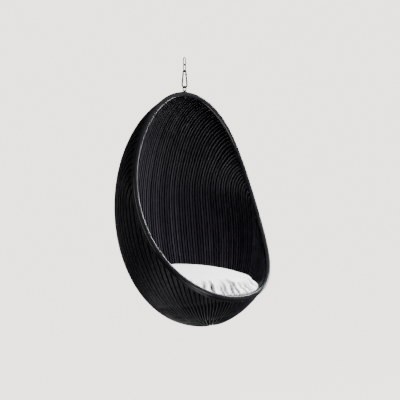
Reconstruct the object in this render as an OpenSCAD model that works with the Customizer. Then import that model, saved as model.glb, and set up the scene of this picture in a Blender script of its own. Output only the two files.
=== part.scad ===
// Hanging egg chair on a short chain, with a snap hook and a loose seat cushion.
// Millimetres. The origin is the bearing point inside the top of the upper chain link,
// +Z is up, the sitter faces -Y and the chair is symmetric about the plane X = 0.

/* [Egg] */
// Length of the egg along its own axis
egg_length = 1220; // [1100:10:1320]
// Backward lean of the egg's axis, degrees
egg_lean = 9.5; // [7:0.5:12]
// Half width of the egg at its widest
side_reach = 416; // [380:2:440]
// Depth of the egg behind its axis
back_reach = 462; // [430:2:490]
// Depth of the egg in front of its axis, were it whole
front_reach = 478; // [450:2:500]
// Height of the lip's centre above the foot, along the axis
lip_height = 130; // [115:1:145]
// Height of the pull on the rim's upper stretch, as a share of the egg's length
upper_pull_share = 0.812; // [0.78:0.002:0.84]
// Distance of that pull behind the egg's axis
upper_pull_back = -11; // [-30:1:10]
// Height of the pull on the rim's lower stretch, as a share of the egg's length
lower_pull_share = 0.497; // [0.47:0.002:0.52]
// Distance of that pull behind the egg's axis
lower_pull_back = 108; // [90:1:125]

/* [Frame] */
// Outer diameter of the rim tube
rim_d = 28; // [24:0.5:32]
// Wall of the rim tube
rim_wall = 2; // [1.5:0.1:3]
// Thickness of the flat bars bent into hoops
hoop_t = 3; // [2:0.1:3.5]
// Width of the hoop bars
hoop_w = 10; // [6:0.5:14]
// Distance of the highest hoop below the egg's top
hoop_first = 55; // [50:1:60]
// Height of the lowest open hoop above the lip's centre
hoop_last = 60; // [55:1:65]
// Thickness of the spine strip
spine_t = 1.6; // [1:0.1:1.8]
// Width of the spine strip
spine_w = 15; // [10:0.5:20]

/* [Weave] */
// Thickness of the inner layer of strands
inner_weave_t = 4.3; // [3.5:0.1:5]
// Thickness of the outer layer of strands
outer_weave_t = 3; // [2.5:0.1:3.5]
// How far the weave's outer face stands off the egg's own surface
weave_proud = 4.8; // [4:0.1:6]
// Diameter of the bead that covers the strand ends along the rim
bead_d = 5; // [4:0.1:6]

/* [Cushion] */
// Height of the cushion's seam above the foot, at its middle
seam_height = 206; // [195:1:215]
// Rise of the seam towards the back, as a slope
seam_slope = 0.075; // [0.05:0.005:0.1]
// Height of the crown above the seam
cushion_crown = 52; // [35:1:60]
// How far the cushion's side is drawn in at the seam
seam_draw = 7; // [4:0.5:10]
// How much further it is drawn in at the front, behind the lip
front_draw = 14; // [12:0.5:20]
// Thickness of the cover cloth with its lining
cover_t = 1.5; // [1:0.1:2.5]
// Clearance between the cushion and the weave it lies on
cushion_clearance = 2.8; // [2.7:0.1:4]

/* [Chain] */
// Wire diameter of the chain links
link_wire = 5; // [4:0.1:6]
// Inner length of a chain link
link_inner_length = 35; // [30:0.5:40]
// Inner width of a chain link
link_inner_width = 11; // [10:0.5:14]

/* [Snap hook] */
// Overall length of the snap hook
hook_length = 98; // [95:1:110]
// Wire diameter of the snap hook
hook_wire = 8; // [7:0.1:9]
// Wire centre radius of the hook's narrow end
hook_narrow_r = 9.3; // [9:0.1:10]
// Wire centre radius of the hook's wide end
hook_wide_r = 17; // [16:0.5:19]
// Distance of the gate's pivot below the hook's upper bend
pivot_drop = 12; // [11.5:0.1:14]
// Length of the gate below its pivot
gate_length = 40; // [36:0.5:41]
// Diameter of the gate's pin
gate_pin_d = 3; // [2.5:0.1:3.5]
// Wire diameter of the gate's spring
spring_wire = 0.6; // [0.5:0.02:0.65]
// Mean radius of the gate's spring
spring_r = 1.75; // [1.7:0.02:1.8]
// Curls of the gate's spring
spring_curls = 9; // [7:1:9]

/* [Eye bolt] */
// Wire diameter of the eye
eye_wire = 6; // [5:0.1:6.5]
// Wire centre radius of the eye
eye_r = 12; // [11.5:0.1:13]
// Shank diameter of the eye bolt
shank_d = 8; // [6:0.5:9]
// Height of the collar under the eye
collar_h = 3; // [2:0.1:4]
// Thickness of a saddle washer over the tube
saddle_t = 2; // [1.5:0.1:3]
// Height of the nut
nut_h = 6.5; // [5:0.1:8]
// Size of the nut across its flats
nut_af = 13; // [13:0.5:14]

/* [Clearances] */
// Gap between two wires that bear on each other
bearing_gap = 0.2; // [0.1:0.05:0.4]
// Gap between a fixed piece and the piece it is welded, tied or bolted to
fit_gap = 0.3; // [0.2:0.05:0.3]
// Radial running clearance of the gate on its pin
pin_clearance = 0.05; // [0.04:0.01:0.1]
// Radial clearance of the pin in the hook's tang
pin_fit = 0.02; // [0.01:0.01:0.04]

/* [Hidden] */

fibre_black = "#1c1c1e";
frame_black = "#151517";
steel_grey = "#b9bcc0";

// Fullness of the egg's profiles: the first number blunts the foot, the second the top
side_profile = [0.49, 0.50];
back_profile = [0.41, 0.53];
front_profile = [0.61, 0.53];

// Fineness of the curved pieces
weave_columns = 30; // across the weave and along each hoop, from rim to rim
rim_sides = 12;
tube_bore_sides = 6;
bead_sides = 6;
fine = 64;

// ---------------------------------------------------------------- the egg's surface
// The egg's own frame has its origin at the foot: X across, Y behind, Z along the axis.

function unit(v) = v / norm(v);

// Radius of a profile at share t of the axis, largest value r, fullness [foot, head]
function profile(t, r, fullness) =
    let (widest = fullness[0] / (fullness[0] + fullness[1]))
    r * pow(t / widest, fullness[0]) * pow((1 - t) / (1 - widest), fullness[1]);

// Slope of that profile with t
function profile_slope(t, r, fullness) =
    profile(t, r, fullness) * (fullness[0] / t - fullness[1] / (1 - t));

function is_back(angle) = cos(angle) >= 0;
function depth(t, angle) =
    is_back(angle) ? profile(t, back_reach, back_profile) : profile(t, front_reach, front_profile);
function depth_slope(t, angle) =
    is_back(angle)
        ? profile_slope(t, back_reach, back_profile)
        : profile_slope(t, front_reach, front_profile);
function width(t) = profile(t, side_reach, side_profile);
function width_slope(t) = profile_slope(t, side_reach, side_profile);

// Point of the surface at share t of the axis and at an angle from the back
function egg_point(t, angle) =
    [width(t) * sin(angle), depth(t, angle) * cos(angle), t * egg_length];

// Outward normal there
function egg_normal(t, angle) =
    unit([
        egg_length * depth(t, angle) * sin(angle),
        egg_length * width(t) * cos(angle),
        -width_slope(t) * depth(t, angle) * pow(sin(angle), 2)
            - depth_slope(t, angle) * width(t) * pow(cos(angle), 2)
    ]);

// Point that stands off the surface by a distance
function egg_offset(t, angle, off) = egg_point(t, angle) + off * egg_normal(t, angle);

// Share and angle of the surface point beside p
function egg_share(p) = p[2] / egg_length;
function egg_angle(p) =
    let (t = egg_share(p), v = p[1] / depth(t, p[1] >= 0 ? 0 : 180))
    atan2(p[0] / width(t), v);

// A point near the surface, moved onto it along the slope
function onto_egg(p, left = 6) =
    let (
        t = p[2] / egg_length,
        a = width(t),
        b = depth(t, p[1] >= 0 ? 0 : 180),
        a_slope = width_slope(t),
        b_slope = depth_slope(t, p[1] >= 0 ? 0 : 180),
        excess = pow(p[0] / a, 2) + pow(p[1] / b, 2) - 1,
        slope = 2 * [
            p[0] / pow(a, 2),
            p[1] / pow(b, 2),
            -(pow(p[0], 2) * a_slope / pow(a, 3) + pow(p[1], 2) * b_slope / pow(b, 3)) / egg_length
        ]
    )
    left == 0 ? p : onto_egg(p - excess / (slope * slope) * slope, left - 1);

// ---------------------------------------------------------------- the rim's line

lip_share = lip_height / egg_length;
lip_point = [0, -profile(lip_share, front_reach, front_profile), lip_height];

// Side view of the rim: a Bezier curve from the egg's top to the lip
function rim_side_view(s) =
    pow(1 - s, 3) * [0, egg_length]
    + 3 * pow(1 - s, 2) * s * [upper_pull_back, upper_pull_share * egg_length]
    + 3 * (1 - s) * pow(s, 2) * [lower_pull_back, lower_pull_share * egg_length]
    + pow(s, 3) * [lip_point[1], lip_height];

// Parameter of that curve at a height, found by halving
function rim_parameter(height, low = 0, high = 1, left = 30) =
    let (mid = (low + high) / 2)
    left == 0 ? mid
    : rim_side_view(mid)[1] > height ? rim_parameter(height, mid, high, left - 1)
    : rim_parameter(height, low, mid, left - 1);

// Angle of the rim's point in that view, between 0 at the back and 180 at the lip
function rim_angle(view) =
    let (t = view[1] / egg_length, r = depth(t, view[0] >= 0 ? 0 : 180))
    acos(max(-1, min(1, view[0] / r)));

// Rim point on the right side at a height along the axis
function rim_point(height) =
    let (view = rim_side_view(rim_parameter(height)))
    [width(height / egg_length) * sin(rim_angle(view)), view[0], height];

// Heights of the hoops: open ones from the top down, then the whole rings at the foot
open_hoops = 16;
hoop_pitch = (egg_length - hoop_first - lip_height - hoop_last) / (open_hoops - 1);
open_heights = [for (i = [0 : open_hoops - 1]) egg_length - hoop_first - i * hoop_pitch];
ring_heights = [0.8, 0.38, 0.1] * lip_height;
foot_heights = [0.8, 0.585, 0.38, 0.22, 0.1, 0.03] * lip_height;
hoop_heights = concat(open_heights, ring_heights);

// Heights of the rim's stations: one at every hoop, and more where the rim turns quickly
rim_heights = concat(
    [for (drop = [0.4, 4.5, 12, 27]) egg_length - drop],
    [
        for (i = [0 : open_hoops - 1])
            each i < 2 || i == open_hoops - 2
                ? [open_heights[i], open_heights[i] - hoop_pitch / 2]
                : [open_heights[i]]
    ],
    [for (part = [0.6, 0.27, 0.07]) lip_height + part * hoop_last]
);

function mirrored(p) = [-p[0], p[1], p[2]];

// The whole loop: down the right side to the lip, then up the left
rim_side = [for (height = rim_heights) rim_point(height)];
rim_stations = len(rim_side);
rim_loop = concat(
    rim_side, [lip_point], [for (i = [rim_stations - 1 : -1 : 0]) mirrored(rim_side[i])]
);
rim_count = len(rim_loop);

function rim_tangent(i) =
    unit(rim_loop[(i + 1) % rim_count] - rim_loop[(i + rim_count - 1) % rim_count]);
function rim_up(i) = egg_normal(egg_share(rim_loop[i]), egg_angle(rim_loop[i]));

// Unit vector along the surface, from the rim into the weave, and the normal squared to it
function rim_inward(i) = unit(cross(rim_up(i), rim_tangent(i)));
function rim_normal(i) = cross(rim_tangent(i), rim_inward(i));

// ---------------------------------------------------------------- stack of layers
// Every level is a distance from the egg's surface, positive outwards.

outer_weave_top = weave_proud;
outer_weave_under = outer_weave_top - outer_weave_t;
spine_room = 2.4; // room for the spine under the straight runs between two hoops
spine_top = outer_weave_under - spine_room;
spine_under = spine_top - spine_t;
hoop_top = spine_under - fit_gap;
hoop_under = hoop_top - hoop_t;
inner_weave_top = hoop_under - fit_gap;
inner_weave_under = inner_weave_top - inner_weave_t;

// Distance along the surface at which a layer's edge at a level meets the tube; the edge
// runs straight from row to row and so bows towards the tube
edge_bow = 0.7;
function tube_reach(level) =
    sqrt(pow(rim_d / 2 + fit_gap, 2) - pow(level, 2)) + edge_bow;

// Top of the weave behind the rim: the share where the back profile is reach deep
function apex_share(reach) =
    let (
        widest = back_profile[0] / (back_profile[0] + back_profile[1]),
        k = back_reach * pow(1 / widest, back_profile[0]) / pow(1 - widest, back_profile[1])
    )
    1 - pow(reach / k, 1 / back_profile[1]);

// Edge of a layer that keeps a distance from the rim's line: pairs [share, angle]
function edge_line(reach) = [
    for (i = [rim_stations : -1 : 0])
        let (p = onto_egg(rim_loop[i] + reach * rim_inward(i)))
        [egg_share(p), i == rim_stations ? 180 : abs(egg_angle(p))],
    [apex_share(reach), 0]
];

// ---------------------------------------------------------------- mesh builders

// Closed loop of rings: each ring has the same number of points
module ring_loop(rings) {
    n = len(rings[0]);
    m = len(rings);
    polyhedron(
        points = [for (ring = rings) each ring],
        faces = [
            for (i = [0 : m - 1], j = [0 : n - 1])
                let (
                    a = i * n + j,
                    b = i * n + (j + 1) % n,
                    c = ((i + 1) % m) * n + (j + 1) % n,
                    d = ((i + 1) % m) * n + j
                )
                each [[a, c, b], [a, d, c]]
        ]
    );
}

// Open run of rings with flat ends
module ring_run(rings) {
    n = len(rings[0]);
    m = len(rings);
    polyhedron(
        points = [for (ring = rings) each ring],
        faces = [
            [for (j = [0 : n - 1]) j],
            for (i = [0 : m - 2], j = [0 : n - 1])
                let (a = i * n + j, b = i * n + (j + 1) % n)
                each [[a, b + n, b], [a, a + n, b + n]],
            [for (j = [n - 1 : -1 : 0]) (m - 1) * n + j]
        ]
    );
}

// Round ring of points about a centre, in the plane of two unit vectors
function round_ring(centre, u, v, r, sides) = [
    for (j = [0 : sides - 1])
        let (a = 360 * (j + 0.5) / sides)
        centre + r * (cos(a) * u + sin(a) * v)
];

// Tube that keeps a place beside the rim's line: reach along the surface, level off it
module rim_sweep(r, sides, reach, level) {
    ring_loop([
        for (i = [0 : rim_count - 1])
            round_ring(
                rim_loop[i] + reach * rim_inward(i) + level * rim_normal(i),
                rim_inward(i), rim_normal(i), r, sides
            )
    ]);
}

// Puts what is drawn in the egg's frame in its place under the eye bolt
module in_place() {
    translate([0, 0, -rim_drop]) rotate([-egg_lean, 0, 0]) translate([0, 0, -egg_length])
        children();
}

// ---------------------------------------------------------------- heights of the chain

link_end_r = (link_inner_width + link_wire) / 2;
link_pitch = link_inner_length + link_wire;
upper_link_low = -link_inner_length - link_wire / 2;
lower_link_high = upper_link_low + link_wire + bearing_gap;
lower_link_low = lower_link_high - link_pitch;
hook_high = lower_link_low + (link_wire + hook_wire) / 2 + bearing_gap;
hook_centres = hook_length - hook_wire - hook_narrow_r - hook_wide_r;
hook_low = hook_high - hook_narrow_r - hook_centres - hook_wide_r;
eye_high = hook_low + (hook_wire + eye_wire) / 2 + bearing_gap;
eye_centre = eye_high - eye_r;
collar_top = eye_centre - eye_r;
collar_under = collar_top - collar_h;

// The tube's top, straight between the first stations, lies in the saddles; the egg's own
// top lies a little above it
seat_drop = -collar_under + saddle_t + rim_d / 2 + 2 * fit_gap;
rim_drop = seat_drop - (egg_length - rim_heights[0]) * cos(egg_lean);

// ---------------------------------------------------------------- frame

module rim_tube() {
    color(frame_black) difference() {
        in_place() difference() {
            rim_sweep(rim_d / 2, rim_sides, 0, 0);
            rim_sweep(rim_d / 2 - rim_wall, tube_bore_sides, 0, 0);
        }
        translate([0, 0, -seat_drop])
            cylinder(h = rim_d * 2, d = shank_d + 2 * fit_gap, center = true, $fn = fine);
    }
}

// Angle at which a layer with a given edge ends at share t; whole rings below the lip
function end_angle(t, edge) = t <= edge[0][0] ? 180 : lookup(t, edge);

// Direction up the surface, square to the hoops
function meridian(t, angle) = unit(egg_point(t + 0.001, angle) - egg_point(t - 0.001, angle));

hoop_end_spare = 0.05; // share of the bar's width, for the tube's own bend

// Distance from the rim's line at which a hoop's end, cut square, clears the tube
function hoop_reach(height) =
    let (
        i = search(height, rim_heights)[0],
        p = rim_loop[i],
        slant = abs(rim_inward(i) * meridian(egg_share(p), egg_angle(p)))
    )
    rim_d / 2 + fit_gap + (0.5 + hoop_end_spare) * hoop_w * slant;

// Cross-section of a hoop's flat bar at an angle
function hoop_ring(t, angle) =
    let (
        n = egg_normal(t, angle),
        step = egg_point(t, angle + 1) - egg_point(t, angle - 1),
        side = unit(cross(n, step)),
        low = egg_offset(t, angle, hoop_under),
        high = egg_offset(t, angle, hoop_top),
        half = hoop_w / 2
    )
    [low - half * side, low + half * side, high + half * side, high - half * side];

module hoop(index) {
    height = hoop_heights[index];
    t = height / egg_length;
    color(frame_black) in_place()
        if (index < open_hoops) {
            // the bends lie at the weave's columns
            limit = end_angle(t, edge_line(hoop_reach(height)));
            column = end_angle(t, edge_line(tube_reach(inner_weave_top))) * 2 / weave_columns;
            bends = floor((limit - 1) / column);
            ring_run([
                hoop_ring(t, -limit),
                for (j = [-bends : bends]) hoop_ring(t, column * j),
                hoop_ring(t, limit)
            ]);
        } else
            ring_loop([
                for (j = [0 : weave_columns - 1]) hoop_ring(t, 360 * j / weave_columns - 180)
            ]);
}

// The spine runs over the hoops, from behind the rim's top round the foot to the lip
spine_steps = [90, 20]; // behind the foot and in front of it
spine_reach = tube_reach(spine_under) + spine_w / 8; // its square ends clear the bent tube
spine_ends = [apex_share(spine_reach), edge_line(spine_reach)[0][0]];

module spine() {
    back = [
        for (i = [spine_steps[0] : -1 : 1])
            [spine_ends[0] * pow(sin(90 * i / spine_steps[0]), 2), 0]
    ];
    front = [
        for (i = [1 : spine_steps[1]]) [spine_ends[1] * pow(i / spine_steps[1], 2), 180]
    ];
    line = concat(back, front);
    outline = concat(
        [for (p = line) egg_offset(p[0], p[1], spine_top)],
        [for (i = [len(line) - 1 : -1 : 0]) egg_offset(line[i][0], line[i][1], spine_under)]
    );
    color(frame_black) in_place()
        rotate([90, 0, 90])
            linear_extrude(height = spine_w, center = true)
                polygon([for (p = outline) [p[1], p[2]]]);
}

// ---------------------------------------------------------------- weave

row_spacing = 0.004; // least share of the axis between a station's row and a hoop's

// Shares of the rows of a layer: the apex behind the rim, then down to the foot. The rows
// lie at the hoops, and at the edge's own stations beyond the first and below the last.
function weave_rows(edge) =
    let (
        above = open_heights[0] / egg_length + row_spacing,
        below = open_heights[open_hoops - 1] / egg_length - row_spacing,
        stations = [for (i = [len(edge) - 1 : -1 : 0]) edge[i][0]],
        between = [for (height = rim_heights) height / egg_length]
    )
    concat(
        [for (t = stations) if (t > above) t],
        [for (t = between) if (t < above && t > below) t],
        [for (t = stations) if (t < below) t],
        foot_heights / egg_length
    );

// Closed thin shell between two levels, ending at a reach from the rim's line
module weave_layer(under, top, reach) {
    edge = edge_line(reach);
    rows = weave_rows(edge);
    n = weave_columns;
    last = len(rows) - 1;
    // a row's end angle, zero at the apex and a half turn from the lip down
    function limit(r) = r == 0 ? 0 : end_angle(rows[r], edge);
    // columns share one point at the apex, and the first and last column meet below the lip
    function column(r, j) = r == 0 ? 0 : (limit(r) >= 180 && j == n) ? 0 : j;
    stride = n + 1;
    function at(side, r, j) = side * (last + 1) * stride + r * stride + column(r, j);
    foot_under = 2 * (last + 1) * stride;
    foot_top = foot_under + 1;
    levels = [under, top];
    points = concat(
        [
            for (level = levels, r = [0 : last], j = [0 : n])
                egg_offset(rows[r], limit(r) * (2 * j / n - 1), level)
        ],
        [[0, 0, -under], [0, 0, -top]]
    );
    faces = concat(
        [
            for (r = [0 : last - 1], j = [0 : n - 1], side = [0, 1])
                let (
                    a = at(side, r, j),
                    b = at(side, r, j + 1),
                    c = at(side, r + 1, j + 1),
                    d = at(side, r + 1, j)
                )
                each side == 0
                    ? [if (a != b) [a, b, c], [a, c, d]]
                    : [if (a != b) [a, c, b], [a, d, c]]
        ],
        [
            for (j = [0 : n - 1])
                each [
                    [at(0, last, j), at(0, last, j + 1), foot_under],
                    [at(1, last, j), foot_top, at(1, last, j + 1)]
                ]
        ],
        [
            for (r = [0 : last - 1])
                if (limit(r) < 180)
                    each concat(
                        wall(at(0, r, 0), at(0, r + 1, 0), at(1, r + 1, 0), at(1, r, 0)),
                        wall(at(1, r, n), at(1, r + 1, n), at(0, r + 1, n), at(0, r, n))
                    )
        ]
    );
    polyhedron(points = points, faces = faces);
}

function wall(a, b, c, d) = [[a, b, c], [a, c, d]];

module inner_weave() {
    color(fibre_black) in_place()
        weave_layer(inner_weave_under, inner_weave_top, tube_reach(inner_weave_top));
}

module outer_weave() {
    color(fibre_black) in_place()
        weave_layer(outer_weave_under, outer_weave_top, tube_reach(outer_weave_under));
}

bead_spare = 0.45; // the bead's straight runs bow towards the weave

// Bead in the corner between the tube and the weave's outer face
bead_level = outer_weave_top + bead_d / 2 + fit_gap + bead_spare;
bead_reach = sqrt(pow((rim_d + bead_d) / 2 + fit_gap, 2) - pow(bead_level, 2));

module edge_bead() {
    color(fibre_black) in_place() rim_sweep(bead_d / 2, bead_sides, bead_reach, bead_level);
}

// ---------------------------------------------------------------- cushion

cushion_columns = weave_columns;
side_rows = 2;
crown_rows = 5;
crown_fullness = [2.6, 0.62]; // flatness of the crown's middle, roundness of its shoulder

// Share at which the tilted seam plane cuts the egg at an angle, found by repetition
function seam_share(angle, height, t = 0.2, left = 10) =
    left == 0 ? t
    : seam_share(
        angle, height,
        (height + depth(t, angle) * cos(angle) * (sin(egg_lean) + seam_slope * cos(egg_lean)))
            / (egg_length * (cos(egg_lean) - seam_slope * sin(egg_lean))),
        left - 1
    );

// Point of the cushion's underside: inset from the weave's inner face
function cushion_under(angle, share, inset) =
    egg_offset(share, angle, inner_weave_under - cushion_clearance - inset);

// Share of the full draw behind the lip: all of it at the very front, none at the sides
function front_part(angle) = pow(max(0, -cos(angle)), 4);

// Ring of the underside in the bowl
function bowl_ring(share, inset) = [
    for (j = [0 : cushion_columns - 1]) cushion_under(360 * j / cushion_columns, share, inset)
];

// Ring of the side at a part k of the way from the highest bowl ring to below the seam
function side_ring(k, inset) = [
    for (j = [0 : cushion_columns - 1])
        let (
            angle = 360 * j / cushion_columns,
            low = foot_heights[0] / egg_length,
            high = seam_share(angle, seam_height - 2 * seam_draw - inset),
            draw = front_draw / 2 * front_part(angle) * k
        )
        cushion_under(angle, low + k * (high - low), inset + draw)
];

// The seam ring, drawn in from the wall
function seam_ring(inset) = [
    for (j = [0 : cushion_columns - 1])
        let (angle = 360 * j / cushion_columns, draw = seam_draw + front_draw * front_part(angle))
        cushion_under(angle, seam_share(angle, seam_height - inset), inset + draw)
];

function mean(list, i = 0, sum = [0, 0, 0]) =
    i == len(list) ? sum / len(list) : mean(list, i + 1, sum + list[i]);

// Rings of the crown: shrunk towards the middle of the seam and raised as a dome
function crown_ring(k, inset) =
    let (
        seam = seam_ring(inset),
        centre = mean(seam),
        rise = cushion_crown * pow(1 - pow(k, crown_fullness[0]), crown_fullness[1]),
        up = [0, -sin(egg_lean), cos(egg_lean)]
    )
    [for (p = seam) centre + k * (p - centre) + rise * up];

module cushion_solid(inset) {
    bowl = [
        for (i = [len(foot_heights) - 1 : -1 : 0]) bowl_ring(foot_heights[i] / egg_length, inset)
    ];
    side = [for (i = [1 : side_rows]) side_ring(i / side_rows, inset)];
    crown = [for (i = [1 : crown_rows]) crown_ring(cos(90 * i / (crown_rows + 1)), inset)];
    rings = concat(bowl, side, [seam_ring(inset)], crown);
    n = cushion_columns;
    last = len(rings) - 1;
    foot = (last + 1) * n;
    peak = foot + 1;
    points = concat(
        [for (ring = rings) each ring],
        [[0, 0, cushion_clearance + inset - inner_weave_under], mean(crown_ring(0, inset))]
    );
    faces = concat(
        [for (j = [0 : n - 1]) [foot, (j + 1) % n, j]],
        [
            for (i = [0 : last - 1], j = [0 : n - 1])
                let (a = i * n + j, b = i * n + (j + 1) % n)
                each [[a, b, b + n], [a, b + n, a + n]]
        ],
        [for (j = [0 : n - 1]) [peak, last * n + j, last * n + (j + 1) % n]]
    );
    polyhedron(points = points, faces = faces);
}

module cushion_cover() {
    color("white") in_place() difference() {
        cushion_solid(0);
        cushion_solid(cover_t);
    }
}

module cushion_filling() {
    color("ivory") in_place() cushion_solid(cover_t + fit_gap);
}

// ---------------------------------------------------------------- chain links

// Oval link in the XZ plane: the middles of its end wires lie at the heights high and low
module oval_link(high, low) {
    straight = high - low - 2 * link_end_r;
    translate([0, 0, (high + low) / 2]) {
        for (side = [-1, 1]) {
            translate([side * link_end_r, 0, 0])
                cylinder(h = straight, d = link_wire, center = true, $fn = fine);
            rotate([90, 0, 0]) rotate([0, 0, side > 0 ? 0 : 180])
                translate([0, straight / 2, 0])
                    rotate_extrude(angle = 180, $fn = fine)
                        translate([link_end_r, 0]) circle(d = link_wire, $fn = fine);
        }
    }
}

module upper_link() {
    color(steel_grey) oval_link(link_wire / 2, upper_link_low);
}

module lower_link() {
    color(steel_grey) rotate([0, 0, 90]) oval_link(lower_link_high, lower_link_low);
}

// ---------------------------------------------------------------- snap hook

hook_slant = asin((hook_wide_r - hook_narrow_r) / hook_centres);
hook_flank = hook_centres * cos(hook_slant);
narrow_centre = hook_high - hook_narrow_r;

hook_r = hook_wire / 2;
flank_r = hook_r - 0.02; // the straight runs, a hair thinner, enter the bends by flank_bite
flank_bite = 0.5;
pivot_gap = 0.4;
tang_t = 3.2;
tang_r = hook_r - 0.6;
slot_w = tang_t + 0.3;
tang_root = pivot_drop - hook_r - pivot_gap;
gate_shoulder = pivot_drop + hook_r + pivot_gap;
nose_gap = 0.4;
gate_tip = pivot_drop + gate_length;
tongue_l = 5;
tongue_w = 2.4;
tongue_slot_w = tongue_w + 0.6;
tongue_inner = -1;
tongue_slot_inner = tongue_inner - 0.3;
tongue_slot_spare = 0.5;
spring_bore_r = spring_r + spring_wire / 2 + 0.2;
spring_floor = gate_shoulder + 18; // the bore ends 18 mm below the shoulder
plunger_r = spring_bore_r - 0.1;
plunger_l = 5;
plunger_top = pivot_drop + tang_r + fit_gap;
plunger_low = plunger_top + plunger_l;
weld_bite = 1; // how far the tang and the tongue enter the bar they grow from

// Frame along the right flank: -Z runs down it from the upper bend, +X points outwards
module on_flank() {
    translate([0, 0, narrow_centre])
        rotate([0, -hook_slant, 0])
            translate([hook_narrow_r, 0, 0])
                children();
}

// Round bar along the flank between two distances below the upper bend
module flank_bar(from, to, r) {
    translate([0, 0, -to]) cylinder(h = to - from, r = r, $fn = fine);
}

// Bend of the hook's wire in its plane, from one angle through a sweep
module hook_bend(r, from, sweep) {
    rotate([90, 0, 0])
        rotate([0, 0, from])
            rotate_extrude(angle = sweep, $fn = fine)
                translate([r, 0]) circle(r = hook_r, $fn = fine);
}

module hook_body() {
    color(steel_grey) {
        translate([0, 0, narrow_centre]) hook_bend(hook_narrow_r, hook_slant, 180 - 2 * hook_slant);
        translate([0, 0, narrow_centre - hook_centres])
            hook_bend(hook_wide_r, 180 - hook_slant, 180 + 2 * hook_slant);
        mirror([1, 0, 0]) on_flank() flank_bar(-flank_bite, hook_flank + flank_bite, flank_r);
        on_flank() {
            flank_bar(-flank_bite, tang_root, flank_r);
            hook_tang();
            flank_bar(gate_tip + nose_gap, hook_flank + flank_bite, flank_r);
            translate([tongue_inner, -tongue_w / 2, -gate_tip - nose_gap - weld_bite])
                cube([tang_r - tongue_inner, tongue_w, tongue_l + nose_gap + weld_bite]);
        }
    }
}

// Flat tang with the pin's hole, round about the pivot
module hook_tang() {
    difference() {
        union() {
            translate([-tang_r, -tang_t / 2, -pivot_drop])
                cube([2 * tang_r, tang_t, pivot_drop - tang_root + weld_bite]);
            translate([0, 0, -pivot_drop]) rotate([90, 0, 0])
                cylinder(h = tang_t, r = tang_r, center = true, $fn = fine);
        }
        pivot_bore(gate_pin_d / 2 + pin_fit);
    }
}

module pivot_bore(r) {
    translate([0, 0, -pivot_drop]) rotate([90, 0, 0])
        cylinder(h = 2 * hook_wire, r = r, center = true, $fn = fine);
}

module hook_gate() {
    color(steel_grey) on_flank() difference() {
        union() {
            flank_bar(gate_shoulder, gate_tip, hook_r);
            intersection() {
                union() {
                    flank_bar(pivot_drop, gate_shoulder, hook_r);
                    translate([0, 0, -pivot_drop]) rotate([90, 0, 0])
                        cylinder(h = hook_wire, r = hook_r, center = true, $fn = fine);
                }
                translate([0, 0, -pivot_drop]) cube([hook_wire, hook_wire, 4 * hook_wire], center = true);
            }
        }
        // slot for the tang
        translate([-hook_wire, -slot_w / 2, -gate_shoulder])
            cube([2 * hook_wire, slot_w, gate_shoulder]);
        pivot_bore(gate_pin_d / 2 + pin_clearance);
        // bore of the spring and its plunger
        flank_bar(pivot_drop + tang_r, spring_floor, spring_bore_r);
        // slot that closes over the hook's tongue
        translate([tongue_slot_inner, -tongue_slot_w / 2, -gate_tip - 1])
            cube([hook_wire, tongue_slot_w, 1 + tongue_l + tongue_slot_spare]);
    }
}

// Rivet through the tang and both ears of the gate
module gate_pin() {
    head_h = 0.9;
    head_r = gate_pin_d / 2 + head_h;
    reach = hook_r + 0.1; // the heads stand a hair off the gate
    color(steel_grey) on_flank() translate([0, 0, -pivot_drop]) rotate([90, 0, 0]) {
        cylinder(h = 2 * reach, d = gate_pin_d, center = true, $fn = fine);
        for (side = [-1, 1])
            translate([0, 0, side * (reach + head_h / 2)])
                cylinder(h = head_h, r = head_r, center = true, $fn = fine);
    }
}

// Coil spring between the plunger and the bore's floor; each end of the wire turns to run
// straight, square to what it presses on, for one wire diameter
spring_top = plunger_low + 0.1;
spring_low = spring_floor - 0.1;
spring_pitch = (spring_low - spring_top - 2 * spring_wire) / spring_curls;
curl_rings = 8;
wire_sides = 6;

function coil_point(a) =
    [spring_r * cos(a), spring_r * sin(a), -spring_top - spring_wire - spring_pitch * a / 360];
function coil_along(a) = unit(coil_point(a + 1) - coil_point(a - 1));
function wire_ring(point, a, along) =
    let (out = [cos(a), sin(a), 0])
    round_ring(point, out, cross(along, out), spring_wire / 2, wire_sides);

module gate_spring() {
    down = [0, 0, -1];
    last = 360 * spring_curls;
    color(steel_grey) on_flank() ring_run(concat(
        [wire_ring(coil_point(0) - spring_wire * down, 0, down)],
        [wire_ring(coil_point(0), 0, unit(down + coil_along(0)))],
        [for (i = [1 : spring_curls * curl_rings - 1])
            let (a = 360 * i / curl_rings) wire_ring(coil_point(a), a, coil_along(a))],
        [wire_ring(coil_point(last), last, unit(down + coil_along(last)))],
        [wire_ring(coil_point(last) + spring_wire * down, last, down)]
    ));
}

echo(str("Least gap between the gate spring's curls: ", spring_pitch - spring_wire, " mm"));

module gate_plunger() {
    color(steel_grey) on_flank() flank_bar(plunger_top, plunger_low, plunger_r);
}

// ---------------------------------------------------------------- eye bolt

bolt_end = 2.5;   // how far the shank stands out of the nut
collar_ledge = 3; // how far the collar stands out round the shank

module eye_bolt() {
    shank_low = -seat_drop - rim_d / 2 - saddle_t - nut_h - bolt_end;
    color(steel_grey) {
        translate([0, 0, eye_centre]) rotate([0, 90, 0])
            rotate_extrude($fn = fine) translate([eye_r, 0]) circle(d = eye_wire, $fn = fine);
        translate([0, 0, collar_under]) cylinder(h = collar_h, r = shank_d / 2 + collar_ledge, $fn = fine);
        translate([0, 0, shank_low])
            cylinder(h = collar_under - shank_low, d = shank_d, $fn = fine);
    }
}

// Washer that is flat on one side and hollowed for the tube on the other
saddle_size = [22, 15]; // along the tube and across it
saddle_hold = 4;        // how far the saddle reaches down the tube's side

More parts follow.
